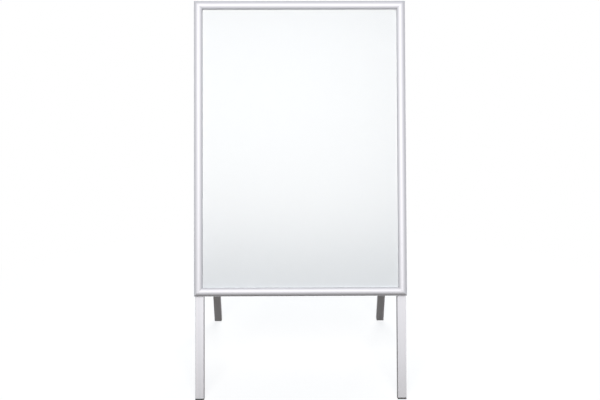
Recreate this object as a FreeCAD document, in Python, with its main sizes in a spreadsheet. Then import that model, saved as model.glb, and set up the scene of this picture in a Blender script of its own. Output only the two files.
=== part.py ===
import FreeCAD, Part
import math
import os

import Sketcher
from FreeCAD import Vector

# Folding A-frame pavement sign with a snap frame for an A1 poster on each leaf.
# Millimetres. +X runs across the sign, the front leaf leans towards -Y, +Z is up,
# and the origin lies on the ground in the middle of the four feet.

doc = FreeCAD.newDocument("PavementSign")
sheet = doc.addObject("Spreadsheet::Sheet", "Sizes")


class Size:
    """A size kept as a number and as the expression that ties it to the sheet."""

    def __init__(self, number, text):
        self.number = float(number)
        self.text = text

    @staticmethod
    def of(value):
        if isinstance(value, Size):
            return value
        return Size(value, f"({value})" if value < 0 else f"{value}")

    def joined(self, sign, other, number):
        return Size(number, f"({self.text} {sign} {other.text})")

    def __add__(self, other):
        other = Size.of(other)
        return self.joined("+", other, self.number + other.number)

    def __sub__(self, other):
        other = Size.of(other)
        return self.joined("-", other, self.number - other.number)

    def __mul__(self, other):
        other = Size.of(other)
        return self.joined("*", other, self.number * other.number)

    def __truediv__(self, other):
        other = Size.of(other)
        return self.joined("/", other, self.number / other.number)

    def __radd__(self, other):
        return Size.of(other) + self

    def __rsub__(self, other):
        return Size.of(other) - self

    def __rmul__(self, other):
        return Size.of(other) * self

    def __neg__(self):
        return Size.of(0) - self


def root(size):
    return Size(math.sqrt(size.number), f"sqrt({size.text})")


def sine(angle):
    angle = Size.of(angle)
    return Size(math.sin(math.radians(angle.number)), f"sin({angle.text})")


def cosine(angle):
    angle = Size.of(angle)
    return Size(math.cos(math.radians(angle.number)), f"cos({angle.text})")


sheet_rows = 0


def cell(alias, number, note):
    """One driving dimension: a row of the sheet with its name, its number and what it is."""
    global sheet_rows
    sheet_rows += 1
    sheet.set(f"A{sheet_rows}", alias)
    sheet.set(f"B{sheet_rows}", f"{number}")
    sheet.set(f"C{sheet_rows}", note)
    sheet.setAlias(f"B{sheet_rows}", alias)
    return Size(number, f"Sizes.{alias}")


# Poster, sheets and frame
poster_width = cell("poster_width", 594, "A1 poster, short side")
poster_height = cell("poster_height", 841, "A1 poster, long side")
poster_thickness = cell("poster_thickness", 0.3, "printed sheet")
poster_overlap = cell("poster_overlap", 10, "poster edge hidden under each cover")
panel_thickness = cell("panel_thickness", 1.0, "galvanised back panel")
clear_thickness = cell("clear_thickness", 0.5, "clear sheet over the poster")
sheet_clearance = cell("sheet_clearance", 0.3, "back panel edge to the rail beside it")
sheet_corner = cell("sheet_corner", 2.0, "rounded corners of the three sheets")
profile_width = cell("profile_width", 25, "face width of the frame profile")

# Base rail section
rail_web = cell("rail_web", 1.2, "web at the back of the rail")
rail_setback = cell("rail_setback", 1.0, "rail ledge ends this far short of the cover's inner edge")
outer_wall = cell("outer_wall", 0.7, "thin wall at the rail's outer edge")
outer_wall_height = cell("outer_wall_height", 6.0, "top of the outer wall above the back of the frame")
bead_inset = cell("bead_inset", 3.4, "cover hinge bead, in from the outer edge")
bead_height = cell("bead_height", 7.0, "cover hinge bead, above the back of the frame")
bead_radius = cell("bead_radius", 1.4, "cover hinge bead")
neck_thickness = cell("neck_thickness", 1.2, "wall that carries the bead")
channel_width = cell("channel_width", 8.8, "corner key channel between its walls")
channel_depth = cell("channel_depth", 2.4, "corner key channel under its lips")
channel_lip = cell("channel_lip", 1.5, "reach of each channel lip")
channel_lip_thickness = cell("channel_lip_thickness", 1.0, "channel lip")
channel_wall = cell("channel_wall", 1.2, "channel wall beside the sheets")
rail_mitre_gap = cell("rail_mitre_gap", 0.05, "each base rail stays this far from its mitre line")

# Snap cover section
cover_play = cell("cover_play", 0.05, "radial play of the cover's socket on the bead")
socket_wall = cell("socket_wall", 1.0, "wall of the cover's socket")
socket_outer_end = cell("socket_outer_end", 157, "angle where the socket ends on the outer side")
socket_inner_end = cell("socket_inner_end", -60, "angle where the socket ends on the inner side")
crown_height = cell("crown_height", 13, "top of the half-round cover above the back of the frame")
crown_place = cell("crown_place", 13, "top of the half-round cover, in from the outer edge")
cover_skin = cell("cover_skin", 1.2, "wall of the half-round cover")
cover_lip = cell("cover_lip", 1.2, "wall of the cover's inner lip")
cover_lip_gap = cell("cover_lip_gap", 0.3, "inner lip to the clear sheet")
cover_round = cell("cover_round", 1.5, "rounding where the cover turns into its lip")
cover_mitre_gap = cell("cover_mitre_gap", 0.15, "each cover stays this far from its mitre line")
relief_height = cell("relief_height", 8.6, "socket is cut back below this level at both ends of a cover")
inner_relief = cell("inner_relief", 7.5, "inner side of the socket starts this far from the corner")
outer_relief = cell("outer_relief", 2.7, "outer side of the socket starts this far from the corner")

# Leaf springs under the covers
spring_thickness = cell("spring_thickness", 0.4, "spring steel strip")
spring_length = cell("spring_length", 18, "length of a spring along its rail")
spring_foot = cell("spring_foot", 4.8, "width of the spring's foot in the channel")
spring_head = cell("spring_head", 3.5, "width of the spring's head under the cover")
spring_bend = cell("spring_bend", 1.0, "outer radius of the spring's bends")
spring_side_gap = cell("spring_side_gap", 0.3, "spring to the channel lip beside it")
spring_top_gap = cell("spring_top_gap", 0.5, "spring head to the cover above it")
spring_end = cell("spring_end", 135, "first spring's middle from the end of its rail")
side_springs = 4
cross_springs = 3

# Corner keys and their grub screws
key_clearance = cell("key_clearance", 0.1, "corner key to the channel around it")
key_reach = cell("key_reach", 52, "corner key's end from the frame's outer edge")
key_screw_radius = cell("key_screw_radius", 2.0, "grub screw in a corner key")
key_screw_end = cell("key_screw_end", 12, "grub screw from the key's end")
screw_clearance = cell("screw_clearance", 0.1, "radial clearance of screws and rivets in their holes")

# Legs and feet
leg_size = cell("leg_size", 25, "square leg tube")
leg_wall = cell("leg_wall", 1.5, "leg tube wall")
leg_corner = cell("leg_corner", 0.8, "leg tube's outer corner radius")
leg_inner_corner = cell("leg_inner_corner", 0.4, "inner corner radius of the leg tube and its plugs")
leg_inset = cell("leg_inset", 3.0, "leg's outer side, in from the frame's outer edge")
leg_drop = cell("leg_drop", 302, "sole of the foot below the frame, along the leg")
fold_gap = cell("fold_gap", 1.0, "back of each leg from the plane where the folded leaves meet")
opening_angle = cell("opening_angle", 30, "angle between the two open leaves")
plug_clearance = cell("plug_clearance", 0.1, "grip ribs of the plugs in the leg tubes, each side")
plug_rib_height = cell("plug_rib_height", 0.9, "grip ribs round the plugs")
plug_rib_thickness = cell("plug_rib_thickness", 1.2, "grip ribs round the plugs")
plug_rib_end = cell("plug_rib_end", 4.0, "first grip rib from either end of a plug")
plug_ribs = 3
plug_wall = cell("plug_wall", 2.0, "wall of the hollow plugs")
foot_flange = cell("foot_flange", 4.0, "foot cap below the tube")
foot_plug = cell("foot_plug", 22, "foot cap inside the tube")
heel_bevel = cell("heel_bevel", 10, "level part of the sole, from the back of the leg")

# Rivets between legs and side rails
leg_rivet_radius = cell("leg_rivet_radius", 2.0, "shank of a leg rivet")
leg_rivet_head = cell("leg_rivet_head", 2.75, "head radius of a leg rivet")
leg_rivet_head_height = cell("leg_rivet_head_height", 1.2, "head of a leg rivet")
leg_rivet_tail = cell("leg_rivet_tail", 3.0, "radius of the formed tail inside the leg")
leg_rivet_tail_length = cell("leg_rivet_tail_length", 2.0, "formed tail inside the leg")
leg_rivet_end = cell("leg_rivet_end", 90, "first leg rivet from the end of the frame")
leg_rivets = 4

# Hinge at the top of the legs
hinge_drop = cell("hinge_drop", 11, "hinge axis below the frame's top edge")
lug_radius = cell("lug_radius", 10, "round end of a knuckle's lug")
lug_gap = cell("lug_gap", 0.6, "between the two lugs on one pin")
lug_clearance = cell("lug_clearance", 0.5, "lug to the other leaf's knuckle below it")
lug_foot = cell("lug_foot", 21, "lug's root on the flange, from the fold plane")
cap_flange = cell("cap_flange", 3.0, "knuckle's flange on top of the tube")
cap_plug = cell("cap_plug", 30, "knuckle inside the tube")
pin_radius = cell("pin_radius", 4.0, "hinge pin")
pin_clearance = cell("pin_clearance", 0.05, "radial running clearance of pins and pivots")
pin_head_radius = cell("pin_head_radius", 7.0, "head of the hinge pin")
pin_head_height = cell("pin_head_height", 1.5, "head of the hinge pin")
pin_side_gap = cell("pin_side_gap", 0.1, "pin head and push nut to the knuckles")
push_nut_radius = cell("push_nut_radius", 7.5, "push nut on the inner end of the pin")
push_nut_thickness = cell("push_nut_thickness", 1.6, "push nut on the inner end of the pin")
pin_end = cell("pin_end", 2.0, "pin stands out of its push nut")

# Folding stays
stay_drop = cell("stay_drop", 480, "stay pivots below the hinge axis, along the leg")
stay_width = cell("stay_width", 16, "stay link")
stay_thickness = cell("stay_thickness", 2.0, "stay link")
stay_pin_radius = cell("stay_pin_radius", 3.0, "pivot rivet of a stay")
stay_head_radius = cell("stay_head_radius", 6.5, "head of a pivot rivet")
stay_head_height = cell("stay_head_height", 1.8, "head of a pivot rivet")
stay_tail_radius = cell("stay_tail_radius", 4.5, "formed tail inside the leg")
stay_tail_length = cell("stay_tail_length", 2.5, "formed tail inside the leg")
stay_play = cell("stay_play", 0.1, "stay link to what lies beside it")
thin_spacer = cell("thin_spacer", 0.4, "washer between the leg and the stack on the pivot")
thick_spacer = cell("thick_spacer", 2.4, "spacer as thick as the other link and its play")
spacer_radius = cell("spacer_radius", 6.0, "washer and spacer")
centre_rivet_radius = cell("centre_rivet_radius", 3.5, "rivet that joins the two links of a stay")
centre_head_radius = cell("centre_head_radius", 6.0, "head of the centre rivet")
centre_head_height = cell("centre_head_height", 1.6, "head of the centre rivet")

doc.recompute()

# Sizes worked out from the driving ones
half_angle = opening_angle / 2
frame_width = poster_width + 2 * (profile_width - poster_overlap)
frame_height = poster_height + 2 * (profile_width - poster_overlap)
frame_back = fold_gap + leg_size
frame_middle = hinge_drop - frame_height / 2
sole_level = hinge_drop - frame_height - leg_drop
tube_bottom = sole_level + foot_flange
flange_top = -(lug_radius + lug_clearance)
tube_top = flange_top - cap_flange
leg_middle = frame_width / 2 - leg_inset - leg_size / 2
leg_inner = leg_middle - leg_size / 2
leg_centre = fold_gap + leg_size / 2
hinge_height = -(sole_level * cosine(half_angle)) - (fold_gap + heel_bevel) * sine(half_angle)
plug_size = leg_size - 2 * leg_wall - 2 * plug_clearance
lug_width = (leg_size - lug_gap) / 2
channel_start = bead_inset + neck_thickness / 2
channel_end = channel_start + channel_width
channel_top = rail_web + channel_depth
lip_top = channel_top + channel_lip_thickness
ledge_start = channel_end + channel_wall
panel_front = rail_web + panel_thickness
poster_front = panel_front + poster_thickness
clear_front = poster_front + clear_thickness
rivet_inset = channel_start + channel_width / 2
stay_reach = stay_drop * sine(half_angle) + leg_centre * cosine(half_angle)
stay_stack = thin_spacer + thick_spacer + stay_thickness + 2 * stay_play


def bind(item, name, size):
    item.setExpression(name, Size.of(size).text)


def place(x=0, y=0, z=0, turn="rotationx(0)"):
    """Expression for a place, with a turn about the place itself."""
    steps = "; ".join(Size.of(step).text for step in (x, y, z))
    return f"placement(vector({steps}); {turn})"


class Outline:
    """A closed outline of lines and arcs. Every corner and radius in its sketch is bound."""

    def __init__(self, x, y):
        self.corners = [(Size.of(x), Size.of(y))]
        self.edges = []

    def line(self, x, y):
        self.corners.append((Size.of(x), Size.of(y)))
        self.edges.append(None)
        return self

    def arc(self, x, y, middle, radius, turn):
        """Arc to a corner about its middle, turn +1 to the left or -1 to the right."""
        self.corners.append((Size.of(x), Size.of(y)))
        self.edges.append((Size.of(middle[0]), Size.of(middle[1]), Size.of(radius), turn))
        return self

    def close_arc(self, middle, radius, turn):
        """Arc from the last corner back to the first. An outline without one closes with a line."""
        self.edges.append((Size.of(middle[0]), Size.of(middle[1]), Size.of(radius), turn))

    def edge_shape(self, step):
        start = self.corners[step]
        end = self.corners[(step + 1) % len(self.corners)]
        if self.edges[step] is None:
            return Part.LineSegment(Vector(start[0].number, start[1].number, 0),
                                    Vector(end[0].number, end[1].number, 0))
        x, y, radius, turn = self.edges[step]
        first, last = (start, end) if turn > 0 else (end, start)
        begin = math.atan2(first[1].number - y.number, first[0].number - x.number)
        finish = math.atan2(last[1].number - y.number, last[0].number - x.number)
        if finish <= begin:
            finish += 2 * math.pi
        circle = Part.Circle(Vector(x.number, y.number, 0), Vector(0, 0, 1), radius.number)
        return Part.ArcOfCircle(circle, begin, finish)

    def draw(self, sketch):
        count = len(self.corners)
        if len(self.edges) < count:
            self.edges.append(None)
        first = sketch.GeometryCount
        for step in range(count):
            sketch.addGeometry(self.edge_shape(step), False)
        for step in range(count):
            edge = self.edges[step]
            before = self.edges[step - 1]
            start_end = 2 if edge and edge[3] < 0 else 1
            finish_end = 1 if before and before[3] < 0 else 2
            line, previous = first + step, first + (step - 1) % count
            sketch.addConstraint(Sketcher.Constraint("Coincident", previous, finish_end, line, start_end))
            x, y = self.corners[step]
            hold(sketch, Sketcher.Constraint("DistanceX", line, start_end, x.number), x)
            hold(sketch, Sketcher.Constraint("DistanceY", line, start_end, y.number), y)
            if edge:
                hold(sketch, Sketcher.Constraint("Radius", line, edge[2].number), edge[2])
        return sketch


def hold(sketch, constraint, size):
    """Add a constraint to a sketch and bind it to its size."""
    sketch.setExpression(f"Constraints[{sketch.addConstraint(constraint)}]", size.text)


def round_hole(sketch, x, y, radius):
    x, y, radius = Size.of(x), Size.of(y), Size.of(radius)
    circle = Part.Circle(Vector(x.number, y.number, 0), Vector(0, 0, 1), radius.number)
    line = sketch.addGeometry(circle, False)
    hold(sketch, Sketcher.Constraint("DistanceX", line, 3, x.number), x)
    hold(sketch, Sketcher.Constraint("DistanceY", line, 3, y.number), y)
    hold(sketch, Sketcher.Constraint("Radius", line, radius.number), radius)


def rounded_rectangle(sketch, left, right, low, high, corner):
    outline = Outline(left + corner, low)
    outline.line(right - corner, low)
    outline.arc(right, low + corner, (right - corner, low + corner), corner, 1)
    outline.line(right, high - corner)
    outline.arc(right - corner, high, (right - corner, high - corner), corner, 1)
    outline.line(left + corner, high)
    outline.arc(left, high - corner, (left + corner, high - corner), corner, 1)
    outline.line(left, low + corner)
    outline.close_arc((left + corner, low + corner), corner, 1)
    outline.draw(sketch)


def polygon(sketch, corners):
    outline = Outline(*corners[0])
    for corner in corners[1:]:
        outline.line(*corner)
    outline.draw(sketch)


nodes = {}


def keep(item, label, placement):
    """Name a finished sub-part, put it in its place and list it for writing."""
    item.Label = label
    item.setExpression("Placement", placement)
    nodes[label] = item
    return item


def section(name):
    return doc.addObject("Sketcher::SketchObject", name)


def extruded(profile, name, length):
    solid = doc.addObject("Part::Extrusion", name)
    solid.Base = profile
    solid.DirMode = "Normal"
    solid.Solid = True
    bind(solid, "LengthFwd", length)
    return solid


def revolved(profile, name, placement):
    solid = doc.addObject("Part::Revolution", name)
    solid.Source = profile
    solid.Axis = Vector(0, 1, 0)
    solid.Angle = 360
    solid.Solid = True
    solid.setExpression("Placement", placement)
    return solid


def group(solids, label, placement):
    compound = doc.addObject("Part::Compound", label)
    compound.Links = solids
    return keep(compound, label, placement)


def new_body(label, placement):
    return keep(doc.addObject("PartDesign::Body", label), label, placement)


def body_sketch(body, name, role, offset=0):
    """Sketch on one of the body's own origin planes, moved along the plane's normal."""
    sketch = body.newObject("Sketcher::SketchObject", name)
    plane = next(item for item in body.Origin.OriginFeatures if item.Role == role)
    sketch.AttachmentSupport = [(plane, "")]
    sketch.MapMode = "FlatFace"
    bind(sketch, "AttachmentOffset.Base.z", offset)
    return sketch


def pad(body, sketch, length):
    feature = body.newObject("PartDesign::Pad", f"{sketch.Name}_pad")
    feature.Profile = sketch
    bind(feature, "Length", length)
    return feature


def pocket_both_ways(body, sketch, length):
    """Cut that reaches half its length to each side of its sketch."""
    feature = body.newObject("PartDesign::Pocket", f"{sketch.Name}_pocket")
    feature.Profile = sketch
    feature.SideType = "Symmetric"
    bind(feature, "Length", length)
    return feature


# Frame sections, drawn with X out from the back of the frame and Y in from its outer edge


def draw_rail_section(sketch):
    """Web, outer wall, neck with its hinge bead, key channel with two lips, and the sheets' ledge."""
    neck_outer = bead_inset - neck_thickness / 2
    bead_root = bead_height - root(bead_radius * bead_radius - neck_thickness * neck_thickness / 4)
    outline = Outline(0, 0)
    outline.line(outer_wall_height, 0)
    outline.line(outer_wall_height, outer_wall)
    outline.line(rail_web, outer_wall)
    outline.line(rail_web, neck_outer)
    outline.line(bead_root, neck_outer)
    outline.arc(bead_root, channel_start, (bead_height, bead_inset), bead_radius, -1)
    outline.line(lip_top, channel_start)
    outline.line(lip_top, channel_start + channel_lip)
    outline.line(channel_top, channel_start + channel_lip)
    outline.line(channel_top, channel_start)
    outline.line(rail_web, channel_start)
    outline.line(rail_web, channel_end)
    outline.line(channel_top, channel_end)
    outline.line(channel_top, channel_end - channel_lip)
    outline.line(lip_top, channel_end - channel_lip)
    outline.line(lip_top, ledge_start)
    outline.line(rail_web, ledge_start)
    outline.line(rail_web, profile_width - rail_setback)
    outline.line(0, profile_width - rail_setback)
    outline.draw(sketch)


socket_radius = bead_radius + cover_play
socket_outside = socket_radius + socket_wall
crown_rise = crown_height - bead_height
crown_run = crown_place - bead_inset
crown_radius = ((crown_run * crown_run + crown_rise * crown_rise - socket_outside * socket_outside)
                / (2 * (crown_rise - socket_outside)))
crown_middle = crown_height - crown_radius


def around_bead(radius, angle):
    """Point of the cover's section at an angle about the bead, from straight inwards to outwards."""
    return bead_height + radius * sine(angle), bead_inset + radius * cosine(angle)


def crown_at(radius, inset):
    """Height of a circle about the crown's middle, at a distance in from the outer edge."""
    run = inset - crown_place
    return crown_middle + root(radius * radius - run * run)


def draw_cover_section(sketch):
    """Half-round crown that runs tangent out of the socket and turns down into the inner lip."""
    middle_gap = crown_radius - socket_outside
    out_step = (bead_height - crown_middle) / middle_gap
    in_step = crown_run / middle_gap
    tangent = (bead_height + socket_outside * out_step, bead_inset - socket_outside * in_step)
    skin_radius = crown_radius - cover_skin
    cos_skin = ((middle_gap * middle_gap + socket_outside * socket_outside - skin_radius * skin_radius)
                / (2 * (middle_gap * socket_outside)))
    sin_skin = root(1 - cos_skin * cos_skin)
    skin_end = (bead_height + socket_outside * (in_step * sin_skin - out_step * cos_skin),
                bead_inset + socket_outside * (in_step * cos_skin + out_step * sin_skin))
    round_place = profile_width - cover_round
    round_height = crown_at(crown_radius - cover_round, round_place)
    round_share = crown_radius / (crown_radius - cover_round)
    round_start = (crown_middle + (round_height - crown_middle) * round_share,
                   crown_place + (round_place - crown_place) * round_share)
    lip_inside = profile_width - cover_lip
    lip_low = clear_front + cover_lip_gap
    bead = (bead_height, bead_inset)
    crown = (crown_middle, crown_place)
    outline = Outline(*around_bead(socket_outside, socket_outer_end))
    outline.arc(*tangent, bead, socket_outside, 1)
    outline.arc(*round_start, crown, crown_radius, 1)
    outline.arc(round_height, profile_width, (round_height, round_place), cover_round, 1)
    outline.line(lip_low, profile_width)
    outline.line(lip_low, lip_inside)
    outline.line(crown_at(skin_radius, lip_inside), lip_inside)
    outline.arc(*skin_end, crown, skin_radius, -1)
    outline.arc(*around_bead(socket_outside, socket_inner_end), bead, socket_outside, 1)
    outline.line(*around_bead(socket_radius, socket_inner_end))
    outline.arc(*around_bead(socket_radius, socket_outer_end), bead, socket_radius, -1)
    outline.draw(sketch)


def draw_spring_section(sketch):
    """Strip bent to a C: foot on the channel floor, upright through its mouth, head under the cover."""
    upright = channel_end - channel_lip - spring_side_gap
    inside = upright - spring_thickness
    turn_in = upright - spring_bend
    low_turn = rail_web + spring_bend
    top = crown_at(crown_radius - cover_skin, upright - spring_head) - spring_top_gap
    high_turn = top - spring_bend
    bend_inside = spring_bend - spring_thickness
    outline = Outline(rail_web, upright - spring_foot)
    outline.line(rail_web, turn_in)
    outline.arc(low_turn, upright, (low_turn, turn_in), spring_bend, -1)
    outline.line(high_turn, upright)
    outline.arc(top, turn_in, (high_turn, turn_in), spring_bend, -1)
    outline.line(top, upright - spring_head)
    outline.line(top - spring_thickness, upright - spring_head)
    outline.line(top - spring_thickness, turn_in)
    outline.arc(high_turn, inside, (high_turn, turn_in), bend_inside, 1)
    outline.line(low_turn, inside)
    outline.arc(rail_web + spring_thickness, turn_in, (low_turn, turn_in), bend_inside, 1)
    outline.line(rail_web + spring_thickness, upright - spring_foot)
    outline.draw(sketch)


rail_section = section("rail_section")
draw_rail_section(rail_section)
cover_section = section("cover_section")
draw_cover_section(cover_section)
spring_section = section("spring_section")
draw_spring_section(spring_section)


def draw_key_section(sketch):
    """Flat L that fills the channel round a corner, with a screw hole in each arm."""
    low = channel_start + key_clearance
    high = channel_end - key_clearance
    polygon(sketch, [(low, low), (key_reach, low), (key_reach, high),
                     (high, high), (high, key_reach), (low, key_reach)])
    hole = key_screw_radius + screw_clearance
    round_hole(sketch, key_reach - key_screw_end, rivet_inset, hole)
    round_hole(sketch, rivet_inset, key_reach - key_screw_end, hole)


key_section = section("key_section")
draw_key_section(key_section)


def rivet_section(name, steps):
    """Half section of a turned piece: pairs of radius and level, from one end to the other."""
    sketch = section(name)
    polygon(sketch, [(0, steps[0][1]), *steps, (0, steps[-1][1])])
    return sketch


DOME = 0.6  # share of a rivet head's radius that stays flat on top

leg_rivet_section = rivet_section("leg_rivet_section", [
    (leg_rivet_tail * DOME, -(leg_wall + leg_rivet_tail_length)),
    (leg_rivet_tail, -(leg_wall + leg_rivet_tail_length / 2)),
    (leg_rivet_tail, -leg_wall),
    (leg_rivet_radius, -leg_wall),
    (leg_rivet_radius, rail_web),
    (leg_rivet_head, rail_web),
    (leg_rivet_head * DOME, rail_web + leg_rivet_head_height)])

stay_rivet_section = rivet_section("stay_rivet_section", [
    (stay_tail_radius * DOME, -(leg_wall + stay_tail_length)),
    (stay_tail_radius, -(leg_wall + stay_tail_length / 2)),
    (stay_tail_radius, -leg_wall),
    (stay_pin_radius, -leg_wall),
    (stay_pin_radius, stay_stack),
    (stay_head_radius, stay_stack),
    (stay_head_radius * DOME, stay_stack + stay_head_height)])

pin_bearing = leg_size + 2 * pin_side_gap
pin_section = rivet_section("pin_section", [
    (pin_head_radius * DOME, -(pin_side_gap + pin_head_height)),
    (pin_head_radius, -(pin_side_gap + pin_head_height / 2)),
    (pin_head_radius, -pin_side_gap),
    (pin_radius, -pin_side_gap),
    (pin_radius, pin_bearing + push_nut_thickness + pin_end)])

# The four sides of a frame, as quarter turns from the top seen from the leaf's front
SIDES = ("top", "right", "bottom", "left")
SWAPPED = {"left": "right", "right": "left"}
SECTION_TURN = "rotation(vector(-1; 1; -1); 120)"
KEY_TURN = "rotation(vector(1; 1; 1); 120)"


def rail_length(side):
    return frame_width if side in ("top", "bottom") else frame_height


def rail_place(side):
    """Place of a rail in its leaf: its section's frame at the start of the rail's outer edge."""
    length = rail_length(side)
    half_across = (frame_height if length is frame_width else frame_width) / 2
    quarter = f"rotationy({90 * SIDES.index(side)})"
    in_plane = place(0, -frame_back, frame_middle, quarter)
    return f"{in_plane} * {place(-length / 2, 0, half_across, SECTION_TURN)}"


def mitred(profile, name, length, gap):
    """Extruded profile, cut at 45 degrees at both ends a little short of the mitre lines."""
    bar = extruded(profile, f"{name}_bar", length)
    mitre = doc.addObject("Part::Wedge", f"{name}_mitre")
    for prop, size in (("Xmin", -crown_height), ("X2min", -crown_height),
                       ("Xmax", 2 * crown_height), ("X2max", 2 * crown_height),
                       ("Ymin", 0), ("Ymax", profile_width),
                       ("Zmin", gap), ("Zmax", length - gap),
                       ("Z2min", profile_width + gap), ("Z2max", length - profile_width - gap)):
        bind(mitre, prop, size)
    cut = doc.addObject("Part::Common", name)
    cut.Base = bar
    cut.Tool = mitre
    return cut


def spread(count, first, length):
    """Places of evenly spread pieces along a length, the same distance from both ends."""
    return [first + (length - 2 * first) * (step / (count - 1)) for step in range(count)]


class Leaf:
    """One leaf of the sign, built upright about the hinge axis with its front towards -Y."""

    def __init__(self, name, place_text):
        self.name = name
        self.place = place_text

    def label(self, words, side=""):
        """Name of a piece by the side on which it stands in the open sign."""
        if self.name == "rear":
            side = SWAPPED.get(side, side)
        return "_".join(word for word in (self.name, side, words) if word)

    def in_leaf(self, local):
        return f"{self.place} * {local}"

    def build(self):
        for side in SIDES:
            self.add_rail(side)
            self.add_cover(side)
        self.add_springs()
        self.add_corner_keys()
        self.add_sheets()
        self.add_leg_rivets()
        self.add_stay_hardware()
        for side in ("left", "right"):
            self.add_leg(side)
            self.add_foot(side)
            self.add_knuckle(side)

    def add_rail(self, side):
        label = self.label("rail", side)
        rail = mitred(rail_section, f"{label}_blank", rail_length(side), rail_mitre_gap)
        if side in ("left", "right"):
            rail = self.drilled(rail, label)
        keep(rail, label, self.in_leaf(rail_place(side)))

    def drilled(self, rail, label):
        """Side rail with the holes for its leg's rivets through the web."""
        holes = []
        for number, level in enumerate(spread(leg_rivets, leg_rivet_end, frame_height)):
            hole = doc.addObject("Part::Cylinder", f"{label}_hole_{number}")
            bind(hole, "Radius", leg_rivet_radius + screw_clearance)
            bind(hole, "Height", 3 * rail_web)
            hole.setExpression("Placement", place(-rail_web, rivet_inset, level, "rotationy(90)"))
            holes.append(hole)
        drill = doc.addObject("Part::MultiFuse", f"{label}_holes")
        drill.Shapes = holes
        cut = doc.addObject("Part::Cut", label)
        cut.Base = rail
        cut.Tool = drill
        return cut

    def add_cover(self, side):
        """Mitred cover. Its socket stops short of the corners, so that each cover opens by itself."""
        label = self.label("cover", side)
        length = rail_length(side)
        blank = mitred(cover_section, f"{label}_blank", length, cover_mitre_gap)
        notches = []
        for inset, width, reach in ((Size.of(0), bead_inset, outer_relief),
                                    (bead_inset, crown_run, inner_relief)):
            for level in (Size.of(0), length - reach):
                notch = doc.addObject("Part::Box", f"{label}_notch")
                bind(notch, "Length", relief_height)
                bind(notch, "Width", width)
                bind(notch, "Height", reach)
                notch.setExpression("Placement", place(0, inset, level))
                notches.append(notch)
        relief = doc.addObject("Part::MultiFuse", f"{label}_relief")
        relief.Shapes = notches
        cover = doc.addObject("Part::Cut", label)
        cover.Base = blank
        cover.Tool = relief
        keep(cover, label, self.in_leaf(rail_place(side)))

    def add_springs(self):
        springs = []
        for side in SIDES:
            count = cross_springs if side in ("top", "bottom") else side_springs
            for level in spread(count, spring_end, rail_length(side)):
                spring = extruded(spring_section, f"{self.name}_spring", spring_length)
                along = place(0, 0, level - spring_length / 2)
                spring.setExpression("Placement", f"{rail_place(side)} * {along}")
                springs.append(spring)
        group(springs, self.label("snap_springs"), self.place)

    def add_corner_keys(self):
        keys = []
        screws = []
        thickness = channel_depth - 2 * key_clearance
        for side in SIDES:
            key = extruded(key_section, f"{self.name}_key", thickness)
            seat = place(rail_web + key_clearance, 0, 0, KEY_TURN)
            key.setExpression("Placement", f"{rail_place(side)} * {seat}")
            keys.append(key)
            hole = key_reach - key_screw_end
            for inset, along in ((rivet_inset, hole), (hole, rivet_inset)):
                screw = doc.addObject("Part::Cylinder", f"{self.name}_key_screw")
                bind(screw, "Radius", key_screw_radius)
                bind(screw, "Height", channel_depth)
                down = place(rail_web, inset, along, "rotationy(90)")
                screw.setExpression("Placement", f"{rail_place(side)} * {down}")
                screws.append(screw)
        group(keys, self.label("corner_keys"), self.place)
        group(screws, self.label("key_screws"), self.place)

    def add_sheets(self):
        panel_half = frame_width / 2 - ledge_start - sheet_clearance
        panel_rise = frame_height / 2 - ledge_start - sheet_clearance
        poster_half = poster_width / 2
        poster_rise = poster_height / 2
        self.add_sheet("back_panel", panel_half, panel_rise, rail_web, panel_thickness)
        self.add_sheet("poster", poster_half, poster_rise, panel_front, poster_thickness)
        self.add_sheet("clear_sheet", poster_half, poster_rise, poster_front, clear_thickness)

    def add_sheet(self, words, half, rise, back, thickness):
        body = new_body(self.label(words), self.place)
        sketch = body_sketch(body, f"{body.Name}_outline", "XZ_Plane", frame_back + back)
        rounded_rectangle(sketch, -half, half, frame_middle - rise, frame_middle + rise, sheet_corner)
        pad(body, sketch, thickness)

    def add_leg_rivets(self):
        rivets = []
        for sign in (-1, 1):
            for level in spread(leg_rivets, leg_rivet_end, frame_height):
                across = sign * (frame_width / 2 - rivet_inset)
                spot = place(across, -frame_back, hinge_drop - level, "rotationx(180)")
                rivets.append(revolved(leg_rivet_section, f"{self.name}_leg_rivet", spot))
        group(rivets, self.label("leg_rivets"), self.place)

    def add_stay_hardware(self):
        """Pivot rivets and spacers. The left link runs beside the leg, the right one further in."""
        rivets = []
        spacers = []
        for sign in (-1, 1):
            inwards = "rotationz(-90)" if sign < 0 else "rotationz(90)"
            pivot = place(sign * leg_inner, -leg_centre, -stay_drop, inwards)
            rivets.append(revolved(stay_rivet_section, f"{self.name}_stay_rivet", pivot))
            thick_level = stay_stack - thick_spacer if sign < 0 else thin_spacer
            for level, thickness in ((Size.of(0), thin_spacer), (thick_level, thick_spacer)):
                spacer = self.ring(f"{self.name}_spacer", thickness)
                spacer.setExpression("Placement", f"{pivot} * {place(0, level, 0, 'rotationx(-90)')}")
                spacers.append(spacer)
        group(rivets, self.label("stay_rivets"), self.place)
        group(spacers, self.label("stay_spacers"), self.place)

    def ring(self, name, thickness):
        sketch = section(f"{name}_section")
        round_hole(sketch, 0, 0, spacer_radius)
        round_hole(sketch, 0, 0, stay_pin_radius + pin_clearance)
        return extruded(sketch, name, thickness)

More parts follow.
